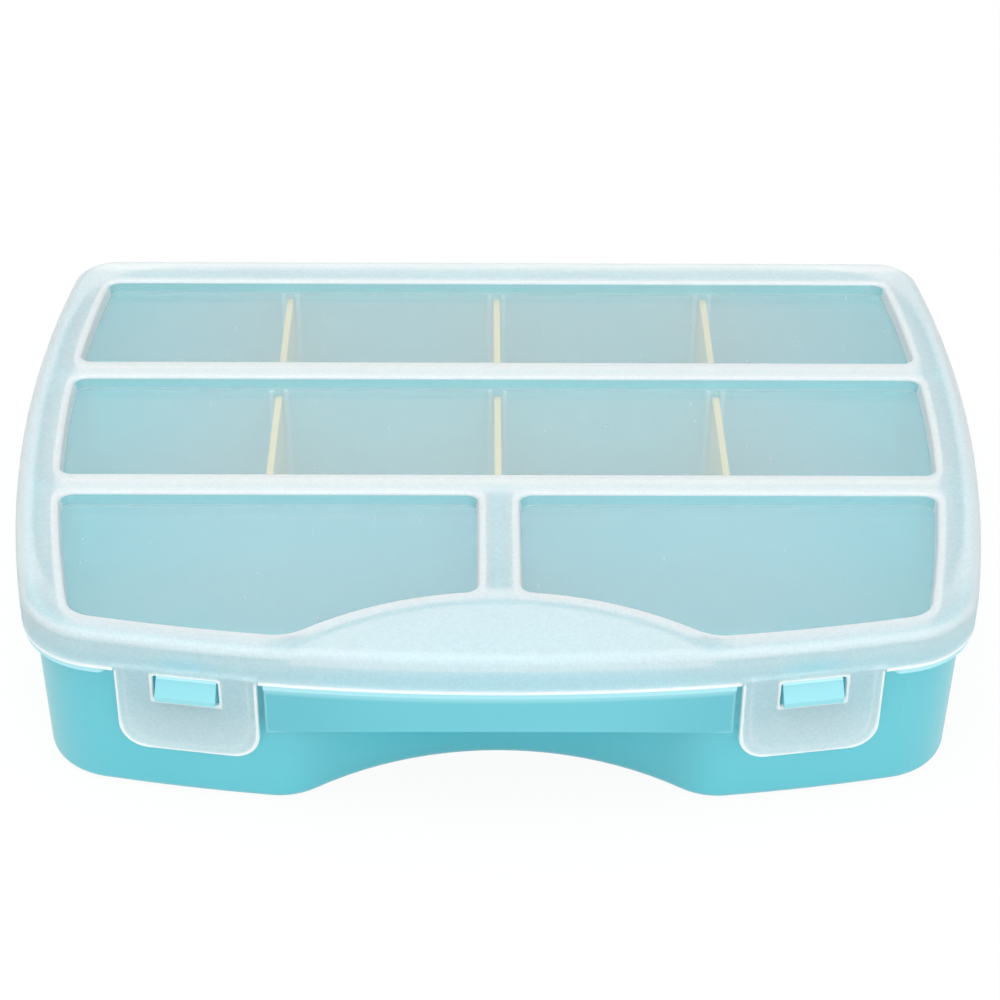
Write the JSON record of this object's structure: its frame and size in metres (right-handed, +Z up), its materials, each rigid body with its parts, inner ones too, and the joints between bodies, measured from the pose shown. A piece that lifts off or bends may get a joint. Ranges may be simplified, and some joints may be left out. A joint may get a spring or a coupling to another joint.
{
  "type": "compartment storage box",
  "caption": "Flat plastic organiser case: a tapered tray with compartments and lift-out dividers, a hinged see-through lid with sunk windows, and slotted latch tabs that catch on hooks.",
  "frame": {"origin": "centre of the box's footprint, on the surface that it stands on", "axes": "+X to the right across the box, -Y to the front with the latches and the grip, +Z up"},
  "size_m": [0.29, 0.213, 0.058],
  "materials": {
    "tray_plastic": "satin turquoise polypropylene",
    "lid_plastic": "frosted natural polypropylene with clear windows",
    "divider_plastic": "smooth cream plastic"
  },
  "bodies": {
    "tray": {"tray": "tray_plastic", "grip": "tray_plastic"},
    "lid": {"lid": "lid_plastic"},
    "latch_left": {"latch_left": "lid_plastic"},
    "latch_right": {"latch_right": "lid_plastic"},
    "divider_back_left": {"divider_back_left": "divider_plastic"},
    "divider_back_centre": {"divider_back_centre": "divider_plastic"},
    "divider_back_right": {"divider_back_right": "divider_plastic"},
    "divider_middle_left": {"divider_middle_left": "divider_plastic"},
    "divider_middle_centre": {"divider_middle_centre": "divider_plastic"},
    "divider_middle_right": {"divider_middle_right": "divider_plastic"}
  },
  "joints": [
    {"name": "lid_hinge", "type": "hinge", "parent": "tray", "child": "lid", "pos_m": [0, 0.1033, 0.0472], "axis": [-1, 0, 0], "range_deg": [0, 180]},
    {"name": "latch_left_fold", "type": "hinge", "parent": "lid", "child": "latch_left", "pos_m": [-0.08608, -0.09895, 0.0472], "axis": [-0.9878, 0.1559, 0], "range_deg": [0, 100]},
    {"name": "latch_right_fold", "type": "hinge", "parent": "lid", "child": "latch_right", "pos_m": [0.08608, -0.09895, 0.0472], "axis": [-0.9878, -0.1559, 0], "range_deg": [0, 100]},
    {"name": "divider_back_left_lift", "type": "slide", "parent": "tray", "child": "divider_back_left", "axis": [0, 0, 1], "range_m": [0, 0.0025]},
    {"name": "divider_back_centre_lift", "type": "slide", "parent": "tray", "child": "divider_back_centre", "axis": [0, 0, 1], "range_m": [0, 0.0025]},
    {"name": "divider_back_right_lift", "type": "slide", "parent": "tray", "child": "divider_back_right", "axis": [0, 0, 1], "range_m": [0, 0.0025]},
    {"name": "divider_middle_left_lift", "type": "slide", "parent": "tray", "child": "divider_middle_left", "axis": [0, 0, 1], "range_m": [0, 0.0025]},
    {"name": "divider_middle_centre_lift", "type": "slide", "parent": "tray", "child": "divider_middle_centre", "axis": [0, 0, 1], "range_m": [0, 0.0025]},
    {"name": "divider_middle_right_lift", "type": "slide", "parent": "tray", "child": "divider_middle_right", "axis": [0, 0, 1], "range_m": [0, 0.0025]}
  ]
}
